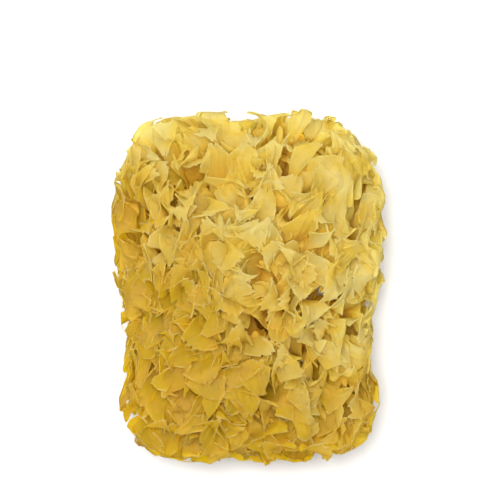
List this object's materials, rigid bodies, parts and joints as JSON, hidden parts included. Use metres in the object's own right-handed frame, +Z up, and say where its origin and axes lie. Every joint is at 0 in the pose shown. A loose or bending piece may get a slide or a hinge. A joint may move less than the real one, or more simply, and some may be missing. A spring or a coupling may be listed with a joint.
{
  "type": "dried snow fungus",
  "caption": "Dried snow fungus head: thin, ruffled, translucent golden fronds forking from a tough cut base, pressed flat like a cushion.",
  "frame": {"origin": "the middle of the head's outline seen from above, on the plane of the flat cut under the base", "axes": "+Z up, away from the cut the head rests on; +Y along the head's longer side, up the picture; +X to the right in the picture"},
  "size_m": [0.1137, 0.149, 0.0564],
  "materials": {
    "dried_base": "tough, rough, deep amber brown",
    "dried_frond": "thin, crisp, translucent golden membrane with paler edges"
  },
  "bodies": {
    "root": {"base": "dried_base", "frond_cluster_01": "dried_frond", "frond_cluster_02": "dried_frond", "frond_cluster_03": "dried_frond", "frond_cluster_04": "dried_frond", "frond_cluster_05": "dried_frond", "frond_cluster_06": "dried_frond", "frond_cluster_07": "dried_frond", "frond_cluster_08": "dried_frond", "frond_cluster_09": "dried_frond", "frond_cluster_10": "dried_frond", "frond_cluster_11": "dried_frond", "frond_cluster_12": "dried_frond"}
  },
  "joints": []
}
